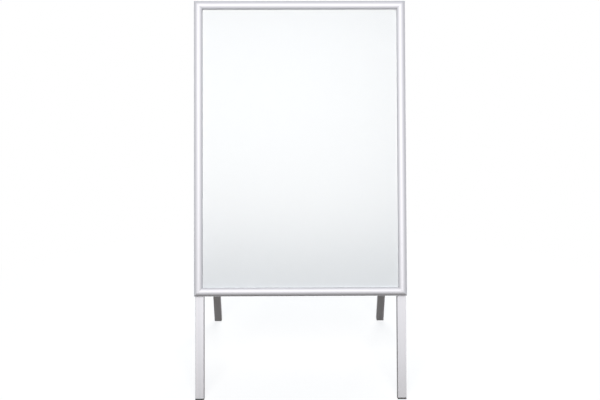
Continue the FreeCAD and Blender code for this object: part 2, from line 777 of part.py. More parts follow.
    def add_leg(self, side):
        sign = -1 if side == "left" else 1
        middle = sign * leg_middle
        body = new_body(self.label("leg", side), self.place)
        sketch = body_sketch(body, f"{body.Name}_tube", "XY_Plane", tube_bottom)
        for inset, corner in ((Size.of(0), leg_corner), (leg_wall, leg_inner_corner)):
            half = leg_size / 2 - inset
            rounded_rectangle(sketch, middle - half, middle + half, -leg_centre - half,
                              -leg_centre + half, corner)
        pad(body, sketch, tube_top - tube_bottom)
        front_wall = body_sketch(body, f"{body.Name}_rivet_holes", "XZ_Plane", frame_back - leg_wall / 2)
        for level in spread(leg_rivets, leg_rivet_end, frame_height):
            round_hole(front_wall, sign * (frame_width / 2 - rivet_inset), hinge_drop - level,
                       leg_rivet_radius + screw_clearance)
        pocket_both_ways(body, front_wall, 3 * leg_wall)
        inner_wall = body_sketch(body, f"{body.Name}_stay_hole", "YZ_Plane",
                                 sign * (leg_inner + leg_wall / 2))
        round_hole(inner_wall, -leg_centre, -stay_drop, stay_pin_radius + screw_clearance)
        pocket_both_ways(body, inner_wall, 3 * leg_wall)

    def add_plug(self, body, middle, low, length):
        """Hollow square plug with grip ribs round it that fit the leg tube."""
        self.add_square_ring(body, middle, low, length, plug_rib_height)
        for level in spread(plug_ribs, plug_rib_end, length):
            self.add_square_ring(body, middle, low + level - plug_rib_thickness / 2,
                                 plug_rib_thickness, Size.of(0))

    def add_square_ring(self, body, middle, low, length, inset):
        """Part of a plug, its outside inset from the ribs' crests, round the plug's hollow."""
        sketch = body_sketch(body, f"{body.Name}_plug", "XY_Plane", low)
        for step in (inset, plug_rib_height + plug_wall):
            half = plug_size / 2 - step
            rounded_rectangle(sketch, middle - half, middle + half, -leg_centre - half,
                              -leg_centre + half, leg_inner_corner)
        pad(body, sketch, length)

    def add_flange(self, body, middle, low, thickness):
        sketch = body_sketch(body, f"{body.Name}_flange", "XY_Plane", low)
        half = leg_size / 2
        rounded_rectangle(sketch, middle - half, middle + half, -leg_centre - half,
                          -leg_centre + half, leg_corner)
        pad(body, sketch, thickness)

    def add_foot(self, side):
        """Cap with a plug in the tube, and a heel cut level with the ground in the open sign."""
        middle = leg_middle if side == "right" else -leg_middle
        body = new_body(self.label("foot", side), self.place)
        self.add_flange(body, middle, sole_level, foot_flange)
        self.add_plug(body, middle, tube_bottom, foot_plug)
        heel = body_sketch(body, f"{body.Name}_heel", "YZ_Plane", middle)
        rise = heel_bevel * sine(half_angle) / cosine(half_angle)
        polygon(heel, [(-fold_gap, sole_level), (-fold_gap, sole_level + rise),
                       (-fold_gap - heel_bevel, sole_level)])
        pocket_both_ways(body, heel, 2 * leg_size)

    def add_knuckle(self, side):
        """Hinge cap: plug, flange and, on its right half, a lug that reaches the hinge pin."""
        middle = leg_middle if side == "right" else -leg_middle
        body = new_body(self.label("knuckle", side), self.place)
        self.add_flange(body, middle, tube_top, cap_flange)
        self.add_plug(body, middle, tube_top - cap_plug, cap_plug)
        lug = body_sketch(body, f"{body.Name}_lug", "YZ_Plane", middle + lug_gap / 2)
        reach = root(lug_foot * lug_foot + flange_top * flange_top)
        cos_touch = lug_radius / reach
        sin_touch = root(1 - cos_touch * cos_touch)
        out, down = lug_foot / reach, flange_top / reach
        touch = (lug_radius * (out * cos_touch - down * sin_touch),
                 lug_radius * (out * sin_touch + down * cos_touch))
        low = -root(lug_radius * lug_radius - fold_gap * fold_gap)
        outline = Outline(-fold_gap, flange_top)
        outline.line(-lug_foot, flange_top)
        outline.line(-touch[0], touch[1])
        outline.arc(-fold_gap, low, (0, 0), lug_radius, -1)
        outline.draw(lug)
        round_hole(lug, 0, 0, pin_radius + pin_clearance)
        pad(body, lug, lug_width)


LEAN = place(0, 0, 0, f"rotationx(-{half_angle.text})")
ON_HINGE = place(0, 0, hinge_height)
HALF_TURN = place(0, 0, 0, "rotationz(180)")
LEAVES = {"front": f"{ON_HINGE} * {LEAN}", "rear": f"{ON_HINGE} * {HALF_TURN} * {LEAN}"}

for leaf_name, leaf_place in LEAVES.items():
    Leaf(leaf_name, leaf_place).build()


def add_stay_link(leaf_name, sign):
    """One link of a folding stay, level in the open sign, and its half of the centre rivet.

    The link on a leaf's left runs next to the leg and takes the flush tail of the rivet. The one
    on its right runs beside it, further in, and takes the head.
    """
    side = "left" if (sign < 0) == (leaf_name == "front") else "right"
    label = f"{side}_{leaf_name}_link"
    near = sign < 0
    level = thin_spacer + stay_play + (0 if near else thick_spacer)
    across = leg_inner - level if sign > 0 else level - leg_inner
    pivot = place(across, -leg_centre, -stay_drop, f"rotationx({half_angle.text})")
    spot = f"{LEAVES[leaf_name]} * {pivot}"
    body = new_body(label, spot)
    sketch = body_sketch(body, f"{label}_outline", "YZ_Plane", 0 if near else -stay_thickness)
    half = stay_width / 2
    outline = Outline(0, -half)
    outline.line(stay_reach, -half)
    outline.arc(stay_reach + half, 0, (stay_reach, 0), half, 1)
    outline.arc(stay_reach, half, (stay_reach, 0), half, 1)
    outline.line(0, half)
    outline.arc(-half, 0, (0, 0), half, 1)
    outline.close_arc((0, 0), half, 1)
    outline.draw(sketch)
    round_hole(sketch, 0, 0, stay_pin_radius + pin_clearance)
    round_hole(sketch, stay_reach, 0, centre_rivet_radius + screw_clearance)
    pad(body, sketch, stay_thickness)
    steps = [(centre_rivet_radius, Size.of(0)), (centre_rivet_radius, stay_thickness)]
    if not near:
        steps += [(centre_head_radius, stay_thickness),
                  (centre_head_radius * DOME, stay_thickness + centre_head_height)]
    profile = rivet_section(f"{label}_rivet_section", steps)
    inwards = "rotationz(-90)" if near else "rotationz(90)"
    rivet_label = f"{label}_rivet"
    rivet = revolved(profile, rivet_label, place())
    keep(rivet, rivet_label, f"{spot} * {place(0, stay_reach, 0, inwards)}")


for leaf_name in LEAVES:
    for sign in (-1, 1):
        add_stay_link(leaf_name, sign)


def add_hinge_pins():
    """A headed pin through both lugs on each side, and the push nut on its inner end."""
    nut_section = section("push_nut_section")
    round_hole(nut_section, 0, 0, push_nut_radius)
    round_hole(nut_section, 0, 0, pin_radius + pin_clearance)
    pins = []
    nuts = []
    for sign in (-1, 1):
        inwards = "rotationz(-90)" if sign < 0 else "rotationz(90)"
        outside = place(sign * (leg_middle + leg_size / 2), 0, 0, inwards)
        pins.append(revolved(pin_section, "hinge_pin", outside))
        nut = extruded(nut_section, "push_nut", push_nut_thickness)
        seat = place(0, leg_size + pin_side_gap, 0, "rotationx(-90)")
        nut.setExpression("Placement", f"{outside} * {seat}")
        nuts.append(nut)
    group(pins, "hinge_pins", ON_HINGE)
    group(nuts, "hinge_push_nuts", ON_HINGE)


add_hinge_pins()
doc.recompute()

for item in doc.Objects:
    if {"Invalid", "Error"} & set(item.State):
        raise RuntimeError(f"{item.Label} did not build: {item.State}")
for label, item in nodes.items():
    if item.Shape.isNull() or not item.Shape.isValid() or not item.Shape.Solids:
        raise RuntimeError(f"{label} has no sound shape")

os.makedirs("parts", exist_ok=True)
for label, item in nodes.items():
    item.Shape.exportStep(f"parts/{label}.step")
print(f"{len(nodes)} sub-parts, {sum(len(item.Shape.Solids) for item in nodes.values())} solids")
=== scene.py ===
import math

import bmesh
import bpy
from mathutils import Matrix, Vector


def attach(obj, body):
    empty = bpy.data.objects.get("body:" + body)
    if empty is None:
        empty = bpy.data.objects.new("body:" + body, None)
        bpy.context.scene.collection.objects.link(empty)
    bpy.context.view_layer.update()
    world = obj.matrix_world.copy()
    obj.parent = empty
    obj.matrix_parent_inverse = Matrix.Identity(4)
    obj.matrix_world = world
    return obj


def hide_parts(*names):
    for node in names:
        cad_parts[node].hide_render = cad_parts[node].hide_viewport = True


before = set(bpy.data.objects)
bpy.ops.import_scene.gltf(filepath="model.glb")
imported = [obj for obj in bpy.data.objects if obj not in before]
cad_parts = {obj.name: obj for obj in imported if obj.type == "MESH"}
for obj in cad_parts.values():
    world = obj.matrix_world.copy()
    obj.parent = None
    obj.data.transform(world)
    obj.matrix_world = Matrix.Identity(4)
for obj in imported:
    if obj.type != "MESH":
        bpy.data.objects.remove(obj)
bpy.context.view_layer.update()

# Sizes in metres, as in the part's source
MM = 0.001
LEAN = math.radians(15)
FRAME_WIDTH, FRAME_HEIGHT = 624 * MM, 871 * MM
FOLD_GAP, LEG_SIZE, LEG_WALL, LEG_OUTER = 1 * MM, 25 * MM, 1.5 * MM, 309 * MM
LEG_INNER, LEG_CENTRE = LEG_OUTER - LEG_SIZE, FOLD_GAP + LEG_SIZE / 2
FRAME_BACK = FOLD_GAP + LEG_SIZE
HINGE_DROP, LEG_DROP, STAY_DROP, HEEL_BEVEL = 11 * MM, 302 * MM, 480 * MM, 10 * MM
FRAME_MIDDLE = HINGE_DROP - FRAME_HEIGHT / 2
SOLE_LEVEL = HINGE_DROP - FRAME_HEIGHT - LEG_DROP
HINGE_HEIGHT = -SOLE_LEVEL * math.cos(LEAN) - (FOLD_GAP + HEEL_BEVEL) * math.sin(LEAN)

ON_HINGE = Matrix.Translation((0, 0, HINGE_HEIGHT))
LEAVES = {"front": ON_HINGE @ Matrix.Rotation(-LEAN, 4, "X"),
          "rear": ON_HINGE @ Matrix.Rotation(math.pi, 4, "Z") @ Matrix.Rotation(-LEAN, 4, "X")}
SIDES = ("top", "right", "bottom", "left")
SWAPPED = {"left": "right", "right": "left"}


def named(leaf, side, words):
    """Name of a leaf's piece by the side on which it stands in the open sign."""
    if leaf == "rear":
        side = SWAPPED.get(side, side)
    return f"{leaf}_{side}_{words}"


# Materials


def add(tree, kind, **values):
    """New node with its properties set."""
    node = tree.nodes.new(kind)
    for key, value in values.items():
        setattr(node, key, value)
    return node


def feed(tree, node, socket, value):
    """Link a node's output to a socket, or set a plain value on it."""
    if isinstance(value, bpy.types.NodeSocket):
        tree.links.new(value, node.inputs[socket])
    else:
        node.inputs[socket].default_value = value


def noise(tree, vector, scale, detail=2.0, roughness=0.5):
    node = tree.nodes.new("ShaderNodeTexNoise")
    feed(tree, node, "Vector", vector)
    feed(tree, node, "Scale", scale)
    feed(tree, node, "Detail", detail)
    feed(tree, node, "Roughness", roughness)
    return node.outputs["Fac"]


def stretched(tree, vector, stretch):
    node = add(tree, "ShaderNodeVectorMath", operation="MULTIPLY")
    feed(tree, node, 0, vector)
    feed(tree, node, 1, stretch)
    return node.outputs["Vector"]


def ranged(tree, value, low, high, new_low, new_high):
    node = tree.nodes.new("ShaderNodeMapRange")
    for socket, part in (("Value", value), ("From Min", low), ("From Max", high),
                         ("To Min", new_low), ("To Max", new_high)):
        feed(tree, node, socket, part)
    return node.outputs["Result"]


def maths(tree, operation, first, second):
    node = add(tree, "ShaderNodeMath", operation=operation)
    feed(tree, node, 0, first)
    feed(tree, node, 1, second)
    return node.outputs["Value"]


# Places of the colour sockets on a Mix node
COLOUR_A, COLOUR_B, COLOUR_RESULT = 6, 7, 2


def mixed(tree, share, first, second):
    node = add(tree, "ShaderNodeMix", data_type="RGBA")
    feed(tree, node, "Factor", share)
    feed(tree, node, COLOUR_A, first)
    feed(tree, node, COLOUR_B, second)
    return node.outputs[COLOUR_RESULT]


def bumped(tree, height, strength, distance):
    node = tree.nodes.new("ShaderNodeBump")
    feed(tree, node, "Height", height)
    feed(tree, node, "Strength", strength)
    feed(tree, node, "Distance", distance)
    return node.outputs["Normal"]


def effect(name, outputs):
    """Shader node group that reads a Vector and puts out the named values."""
    tree = bpy.data.node_groups.new(name, "ShaderNodeTree")
    tree.interface.new_socket("Vector", in_out="INPUT", socket_type="NodeSocketVector")
    for output in outputs:
        tree.interface.new_socket(output, in_out="OUTPUT", socket_type="NodeSocketFloat")
    inlet = tree.nodes.new("NodeGroupInput")
    outlet = tree.nodes.new("NodeGroupOutput")
    return tree, inlet.outputs["Vector"], outlet


# Waves per metre of the drawn metal: few along the profile and many across it
DIE_LINES, BROAD_STREAKS, CLOUDS = (5, 1400, 1400), (1.5, 160, 160), 11.0


def drawn_metal_effect():
    """Die lines along X, broad streaks beside them, and cloudy patches of the finish."""
    tree, vector, outlet = effect("drawn_metal", ("Lines", "Streaks", "Clouds"))
    lines = noise(tree, stretched(tree, vector, DIE_LINES), 1.0, detail=3.0, roughness=0.6)
    streaks = noise(tree, stretched(tree, vector, BROAD_STREAKS), 1.0)
    clouds = noise(tree, vector, CLOUDS, detail=4.0, roughness=0.6)
    for socket, value in (("Lines", lines), ("Streaks", streaks), ("Clouds", clouds)):
        feed(tree, outlet, socket, value)
    return tree


# Waves per metre of fine pits and of uneven patches
PITS, PATCHES = 2600.0, 38.0


def grain_effect():
    """Fine pits of a plated, moulded or printed face, and broader uneven patches."""
    tree, vector, outlet = effect("fine_grain", ("Grain", "Patches"))
    feed(tree, outlet, "Grain", noise(tree, vector, PITS, roughness=0.7))
    feed(tree, outlet, "Patches", noise(tree, vector, PATCHES, detail=3.0, roughness=0.55))
    return tree


# How high dust reaches, and its blots per metre
DUST_HEIGHT, DUST_BLOTS = 0.12, 160.0


def ground_dust_effect():
    """Mask of pale dust that thins out with the height above the ground, broken up by noise."""
    tree, vector, outlet = effect("ground_dust", ("Dust",))
    split = tree.nodes.new("ShaderNodeSeparateXYZ")
    feed(tree, split, "Vector", vector)
    low = ranged(tree, split.outputs["Z"], 0.0, DUST_HEIGHT, 1.0, 0.0)
    blots = ranged(tree, noise(tree, vector, DUST_BLOTS, detail=5.0, roughness=0.65), 0.35, 0.75, 0.0, 1.0)
    feed(tree, outlet, "Dust", maths(tree, "MULTIPLY", low, blots))
    return tree


DRAWN_METAL = drawn_metal_effect()
FINE_GRAIN = grain_effect()
GROUND_DUST = ground_dust_effect()


def use(tree, group, vector):
    """Place an effect in a material and return its outputs."""
    node = tree.nodes.new("ShaderNodeGroup")
    node.node_tree = group
    tree.links.new(vector, node.inputs["Vector"])
    return node.outputs


def finish_material(name, **constants):
    """Material with one Principled shader whose plain values are set on its own sockets."""
    material = bpy.data.materials.new(name)
    material.use_nodes = True
    tree = material.node_tree
    shader = tree.nodes["Principled BSDF"]
    for socket, value in constants.items():
        shader.inputs[socket.replace("_", " ")].default_value = value
    place = tree.nodes.new("ShaderNodeTexCoord").outputs["Object"]
    return material, tree, shader, place


def turned_to_x(tree, place, turn):
    """Place turned so that the length of a rail or leg runs along X."""
    node = tree.nodes.new("ShaderNodeMapping")
    node.inputs["Rotation"].default_value = turn
    tree.links.new(place, node.inputs["Vector"])
    return node.outputs["Vector"]


DUST_GREY = (0.55, 0.53, 0.50, 1)


def anodised(name, turn):
    """Satin anodised aluminium with die lines along the profile and a little dust low down."""
    material, tree, shader, place = finish_material(name, Metallic=1.0)
    drawn = use(tree, DRAWN_METAL, turned_to_x(tree, place, turn))
    dust = use(tree, GROUND_DUST, place)["Dust"]
    light, dark = (0.55, 0.55825, 0.59675, 1), (0.5115, 0.51975, 0.5555, 1)
    face = mixed(tree, ranged(tree, drawn["Lines"], 0.3, 0.7, 0.0, 0.4), light, dark)
    face = mixed(tree, ranged(tree, drawn["Clouds"], 0.4, 0.75, 0.0, 0.15), face, dark)
    dusty, dulled = maths(tree, "MULTIPLY", dust, 0.15), maths(tree, "MULTIPLY", dust, 0.1)
    feed(tree, shader, "Base Color", mixed(tree, dusty, face, DUST_GREY))
    satin = ranged(tree, drawn["Streaks"], 0.25, 0.75, 0.62, 0.68)
    feed(tree, shader, "Roughness", maths(tree, "ADD", satin, dulled))
    feed(tree, shader, "Normal", bumped(tree, drawn["Lines"], strength=0.06, distance=0.1 * MM))
    return material


ACROSS = (0, 0, 0)
UPRIGHT = {"front": (LEAN, math.pi / 2, 0), "rear": (-LEAN, math.pi / 2, 0)}
ANODISED = {"across": anodised("anodised_across", ACROSS),
            "front": anodised("anodised_front_upright", UPRIGHT["front"]),
            "rear": anodised("anodised_rear_upright", UPRIGHT["rear"])}


def zinc_plate():
    """Bright zinc on steel, cloudy where the plate is thinner."""
    material, tree, shader, place = finish_material("zinc_plate", Metallic=1.0)
    grain = use(tree, FINE_GRAIN, place)
    bright, dull = (0.58, 0.58, 0.57, 1), (0.48, 0.49, 0.51, 1)
    cloudy = ranged(tree, grain["Patches"], 0.35, 0.7, 0.0, 1.0)
    feed(tree, shader, "Base Color", mixed(tree, cloudy, bright, dull))
    feed(tree, shader, "Roughness", ranged(tree, grain["Patches"], 0.3, 0.7, 0.26, 0.4))
    feed(tree, shader, "Normal", bumped(tree, grain["Grain"], strength=0.08, distance=0.1 * MM))
    return material


# Crystals per metre
SPANGLES = 75.0


def galvanised_sheet():
    """Sheet steel with the spangle of hot zinc: flat crystals that each have their own brightness."""
    material, tree, shader, place = finish_material("galvanised_sheet", Metallic=1.0)
    crystals = tree.nodes.new("ShaderNodeTexVoronoi")
    feed(tree, crystals, "Vector", place)
    feed(tree, crystals, "Scale", SPANGLES)
    feed(tree, crystals, "Randomness", 1.0)
    split = tree.nodes.new("ShaderNodeSeparateColor")
    tree.links.new(crystals.outputs["Color"], split.inputs["Color"])
    grain = use(tree, FINE_GRAIN, place)
    share = ranged(tree, split.outputs["Red"], 0.0, 1.0, 0.15, 0.85)
    dull, bright = (0.52, 0.54, 0.56, 1), (0.64, 0.65, 0.66, 1)
    feed(tree, shader, "Base Color", mixed(tree, share, dull, bright))
    feed(tree, shader, "Roughness", ranged(tree, split.outputs["Green"], 0.0, 1.0, 0.34, 0.5))
    feed(tree, shader, "Normal", bumped(tree, grain["Grain"], strength=0.06, distance=0.1 * MM))
    return material


def mill_aluminium():
    """Bare drawn aluminium of the corner keys."""
    material, tree, shader, place = finish_material("mill_aluminium", Metallic=1.0)
    drawn = use(tree, DRAWN_METAL, place)
    bright, dull = (0.66, 0.66, 0.67, 1), (0.5, 0.5, 0.52, 1)
    feed(tree, shader, "Base Color", mixed(tree, drawn["Clouds"], bright, dull))
    feed(tree, shader, "Roughness", ranged(tree, drawn["Streaks"], 0.2, 0.8, 0.3, 0.5))
    return material


def black_plastic():
    """Moulded feet and knuckles with a pitted face, the feet a trace dusty."""
    material, tree, shader, place = finish_material("black_plastic", Specular_IOR_Level=0.3)
    grain = use(tree, FINE_GRAIN, place)
    dust = use(tree, GROUND_DUST, place)["Dust"]
    deep, worn = (0.009, 0.009, 0.010, 1), (0.018, 0.018, 0.020, 1)
    dusty = maths(tree, "MULTIPLY", dust, 0.03)
    feed(tree, shader, "Base Color", mixed(tree, dusty, mixed(tree, grain["Patches"], deep, worn), DUST_GREY))
    feed(tree, shader, "Roughness", ranged(tree, grain["Patches"], 0.3, 0.7, 0.46, 0.6))
    feed(tree, shader, "Normal", bumped(tree, grain["Grain"], strength=0.25, distance=0.2 * MM))
    return material


def white_nylon():
    """Creamy nylon of the stays' spacers."""
    material, tree, shader, place = finish_material("white_nylon")
    grain = use(tree, FINE_GRAIN, place)
    light, dark = (0.82, 0.81, 0.77, 1), (0.74, 0.73, 0.69, 1)
    feed(tree, shader, "Base Color", mixed(tree, grain["Patches"], light, dark))
    feed(tree, shader, "Roughness", ranged(tree, grain["Grain"], 0.2, 0.8, 0.4, 0.55))
    return material


def white_poster():
    """Coated paper, whose gloss is that of the clear sheet that lies on it."""
    material, tree, shader, place = finish_material("white_poster", Coat_Weight=1.0, Coat_Roughness=0.25,
                                                    Coat_IOR=1.53)
    grain = use(tree, FINE_GRAIN, place)
    light, dark = (0.735, 0.763, 0.79, 1), (0.728, 0.756, 0.783, 1)
    feed(tree, shader, "Base Color", mixed(tree, grain["Patches"], light, dark))
    feed(tree, shader, "Roughness", ranged(tree, grain["Grain"], 0.2, 0.8, 0.55, 0.7))
    return material


def clear_film():
    """Anti-glare film: the faintest cool veil, with a soft gloss."""
    material, tree, shader, place = finish_material("clear_film", Alpha=0.02, IOR=1.5)
    grain = use(tree, FINE_GRAIN, place)
    light, dark = (0.84, 0.92, 0.96, 1), (0.83, 0.91, 0.95, 1)
    feed(tree, shader, "Base Color", mixed(tree, grain["Patches"], light, dark))
    feed(tree, shader, "Roughness", ranged(tree, grain["Patches"], 0.3, 0.7, 0.265, 0.275))
    return material


ZINC = zinc_plate()
GALVANISED = galvanised_sheet()
MILL = mill_aluminium()
BLACK_PLASTIC = black_plastic()
NYLON = white_nylon()
POSTER = white_poster()
FILM = clear_film()

# Pieces: the bends at which edges are shaded, eased or dissolved, and how near vertices merge
SMOOTH_BELOW, EASED_ABOVE, FLAT_BELOW = math.radians(32), math.radians(40), math.radians(0.5)
SOLID_MERGE, SPIN_MERGE, CUT_MERGE = 2e-6, 1e-6, 1e-7
EASE_STEPS = 2


def shade_smooth(bm):
    """Shade all faces smooth, with the edges that are bent too far kept sharp."""
    for face in bm.faces:
        face.smooth = True
    for edge in bm.edges:
        edge.smooth = len(edge.link_faces) == 2 and edge.calc_face_angle(0) < SMOOTH_BELOW


def finish_piece(name, bm, material, body, slot, *nodes):
    """Turn a finished shape into a piece that rides on its body and stands for its solids."""
    shade_smooth(bm)
    mesh = bpy.data.meshes.new(name)
    bm.to_mesh(mesh)
    bm.free()
    mesh.materials.append(material)
    piece = bpy.data.objects.new(name, mesh)
    bpy.context.scene.collection.objects.link(piece)
    even = piece.modifiers.new("even_normals", "WEIGHTED_NORMAL")
    even.keep_sharp = True
    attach(piece, body)
    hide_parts(*nodes)


def join(bm, part, seat):
    """Move a shape to its seat and add it to a piece."""
    bmesh.ops.transform(part, matrix=seat, verts=part.verts)
    spare = bpy.data.meshes.new("part")
    part.to_mesh(spare)
    part.free()
    bm.from_mesh(spare)
    bpy.data.meshes.remove(spare)


def eased_copy(node, material, body, slot, ease=0.0):
    """A solid's own shape with its sharp edges eased and its round faces shaded smooth."""
    bm = bmesh.new()
    bm.from_mesh(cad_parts[node].data)
    bmesh.ops.remove_doubles(bm, verts=bm.verts, dist=SOLID_MERGE)
    bmesh.ops.dissolve_limit(bm, angle_limit=FLAT_BELOW, verts=bm.verts, edges=bm.edges)
    if ease:
        sharp = [edge for edge in bm.edges
                 if len(edge.link_faces) == 2 and edge.calc_face_angle(0) > EASED_ABOVE]
        bmesh.ops.bevel(bm, geom=sharp, offset=ease, offset_type="OFFSET", affect="EDGES",
                        segments=EASE_STEPS, profile=0.5, material=-1, clamp_overlap=True)
    finish_piece(f"{node}_finished", bm, material, body, slot, node)


# Snap covers, drawn in millimetres as (inset from the frame's outer edge, height above its back)
BEAD = (3.4, 7.0)
SOCKET_INSIDE, SOCKET_OUTSIDE = 1.45, 2.45
CROWN_PLACE, CROWN_HEIGHT = 13.0, 13.0
CROWN_RADIUS = ((CROWN_PLACE - BEAD[0]) ** 2 + (CROWN_HEIGHT - BEAD[1]) ** 2 - SOCKET_OUTSIDE ** 2) \
    / (2 * (CROWN_HEIGHT - BEAD[1] - SOCKET_OUTSIDE))
CROWN = (CROWN_PLACE, CROWN_HEIGHT - CROWN_RADIUS)
COVER_SKIN, COVER_ROUND, COVER_LIP = 1.2, 1.5, 1.2
PROFILE_WIDTH = 25.0
LIP_LOW = 3.3
RELIEF_HEIGHT, INNER_RELIEF, OUTER_RELIEF = 8.6, 7.5, 2.7
RELIEF_TURN = math.degrees(math.asin((RELIEF_HEIGHT - BEAD[1]) / SOCKET_OUTSIDE))
TAIL_END, ARM_END = 157, -60
MITRE_GAP = 0.15 * MM
ARC_STEP = 4.0


class Section:
    """Closed outline across a cover, traced vertex by vertex in the plane at the rail's start."""

    def __init__(self, length, half_across, start):
        self.bm = bmesh.new()
        self.x = -length / 2
        self.half_across = half_across
        self.first = self.last = self.bm.verts.new(self.place(start))

    def place(self, point):
        return Vector((self.x, -FRAME_BACK - point[1] * MM, self.half_across - point[0] * MM))

    def line(self, point):
        grown = bmesh.ops.extrude_vert_indiv(self.bm, verts=[self.last])
        self.last = grown["verts"][0]
        self.last.co = self.place(point)
        return self

    def arc(self, middle, start, end):
        """Arc about a middle. Its angles count from straight inwards, and the front is at 90."""
        steps = max(2, round(abs(end - start) / ARC_STEP))
        spun = bmesh.ops.spin(self.bm, geom=[self.last], cent=self.place(middle), axis=(1, 0, 0),
                              angle=math.radians(start - end), steps=steps)
        self.last = next(item for item in spun["geom_last"] if isinstance(item, bmesh.types.BMVert))
        return self

    def extruded(self, start, end):
        """Close the outline and extrude it along the rail, between two distances from its start."""
        bm = self.bm
        bm.edges.new((self.last, self.first))
        bmesh.ops.contextual_create(bm, geom=bm.edges[:])
        bmesh.ops.translate(bm, vec=(start, 0, 0), verts=bm.verts)
        grown = bmesh.ops.extrude_face_region(bm, geom=bm.faces[:])
        moved = [item for item in grown["geom"] if isinstance(item, bmesh.types.BMVert)]
        bmesh.ops.translate(bm, vec=(end - start, 0, 0), verts=moved)
        bmesh.ops.recalc_face_normals(bm, faces=bm.faces)
        return bm


def on_circle(middle, radius, angle):
    return (middle[0] + radius * math.cos(math.radians(angle)),
            middle[1] + radius * math.sin(math.radians(angle)))


def angle_at(middle, point):
    return math.degrees(math.atan2(point[1] - middle[1], point[0] - middle[0]))


def meeting_angle(radius, other_middle, other_radius):
    """Angle on a circle about the bead where it meets another circle."""
    gap = math.dist(BEAD, other_middle)
    turn = math.acos((gap ** 2 + radius ** 2 - other_radius ** 2) / (2 * gap * radius))
    return angle_at(BEAD, other_middle) + math.degrees(turn)


def crown_section(length, half_across):
    """Half-round crown, its rounded inner edge and lip, and the top of the socket above the relief."""
    tangent_turn = angle_at(CROWN, BEAD)
    round_place = PROFILE_WIDTH - COVER_ROUND
    reach = CROWN_RADIUS - COVER_ROUND
    rounding = (round_place, CROWN[1] + math.sqrt(reach ** 2 - (round_place - CROWN[0]) ** 2))
    round_turn = angle_at(CROWN, rounding)
    skin_radius = CROWN_RADIUS - COVER_SKIN
    lip_inside = PROFILE_WIDTH - COVER_LIP
    skin_start = (lip_inside, CROWN[1] + math.sqrt(skin_radius ** 2 - (lip_inside - CROWN[0]) ** 2))
    skin_turn = meeting_angle(SOCKET_OUTSIDE, CROWN, skin_radius)
    skin_end = on_circle(BEAD, SOCKET_OUTSIDE, skin_turn)
    section = Section(length, half_across, on_circle(BEAD, SOCKET_OUTSIDE, 180 - RELIEF_TURN))
    section.arc(BEAD, 180 - RELIEF_TURN, tangent_turn)
    section.arc(CROWN, tangent_turn, round_turn)
    section.arc(rounding, round_turn, 0)
    section.line((PROFILE_WIDTH, LIP_LOW)).line((lip_inside, LIP_LOW)).line(skin_start)
    section.arc(CROWN, angle_at(CROWN, skin_start), angle_at(CROWN, skin_end))
    section.arc(BEAD, skin_turn, RELIEF_TURN)
    return section


def socket_tail_section(length, half_across):
    """Outer half of the socket below the relief."""
    section = Section(length, half_across, (BEAD[0], RELIEF_HEIGHT))
    section.line(on_circle(BEAD, SOCKET_OUTSIDE, 180 - RELIEF_TURN))
    section.arc(BEAD, 180 - RELIEF_TURN, TAIL_END)
    section.line(on_circle(BEAD, SOCKET_INSIDE, TAIL_END))
    return section.arc(BEAD, TAIL_END, 90)


def socket_arm_section(length, half_across):
    """Inner half of the socket below the relief."""
    section = Section(length, half_across, (BEAD[0], RELIEF_HEIGHT))
    section.line(on_circle(BEAD, SOCKET_INSIDE, 90))
    section.arc(BEAD, 90, ARM_END)
    section.line(on_circle(BEAD, SOCKET_OUTSIDE, ARM_END))
    return section.arc(BEAD, ARM_END, RELIEF_TURN)


def mitre(bm, corner, kept_way):
    """Cut a bar on the plane through a corner and close the cut."""
    cut = bmesh.ops.bisect_plane(bm, geom=bm.verts[:] + bm.edges[:] + bm.faces[:], dist=CUT_MERGE,
                                 plane_co=corner, plane_no=kept_way, clear_inner=True)
    rim = [item for item in cut["geom_cut"] if isinstance(item, bmesh.types.BMEdge)]
    bmesh.ops.contextual_create(bm, geom=rim)


def side_sizes(side):
    """Length of a side's rail, and how far its outer edge lies from the middle of the frame."""
    if side in ("top", "bottom"):
        return FRAME_WIDTH, FRAME_HEIGHT / 2
    return FRAME_HEIGHT, FRAME_WIDTH / 2


def side_seat(leaf, side):
    """Place of a leaf's side, drawn as if it were the top one round the middle of the frame."""
    quarter = Matrix.Rotation(math.pi / 2 * SIDES.index(side), 4, "Y")
    return LEAVES[leaf] @ Matrix.Translation((0, 0, FRAME_MIDDLE)) @ quarter


def add_cover(leaf, side):
    """Cover of one side: a mitred crown, and the two halves of its socket cut back at both ends."""
    length, half_across = side_sizes(side)
    crown = crown_section(length, half_across).extruded(0, length)
    start = Vector((-length / 2 + MITRE_GAP, 0, half_across))
    end = Vector((length / 2 - MITRE_GAP, 0, half_across))
    mitre(crown, start, Vector((1, 0, 1)).normalized())
    mitre(crown, end, Vector((-1, 0, 1)).normalized())
    for section, relief in ((socket_tail_section, OUTER_RELIEF), (socket_arm_section, INNER_RELIEF)):
        strip = section(length, half_across).extruded(relief * MM, length - relief * MM)
        join(crown, strip, Matrix.Identity(4))
    bmesh.ops.transform(crown, matrix=side_seat(leaf, side), verts=crown.verts)
    bmesh.ops.recalc_face_normals(crown, faces=crown.faces)
    node = named(leaf, side, "cover")
    grain = "across" if side in ("top", "bottom") else leaf
    finish_piece(f"{node}_crown", crown, ANODISED[grain], node, "anodised_aluminium", node)


for leaf in LEAVES:
    for side in SIDES:
        add_cover(leaf, side)

# Clear sheets, a hair in front of the poster
HALF_WIDTH, HALF_HEIGHT, SHEET_CORNER, CORNER_STEPS = 297 * MM, 420.5 * MM, 2 * MM, 5
FILM_BACK, FILM_FRONT = 2.55 * MM, 3.0 * MM


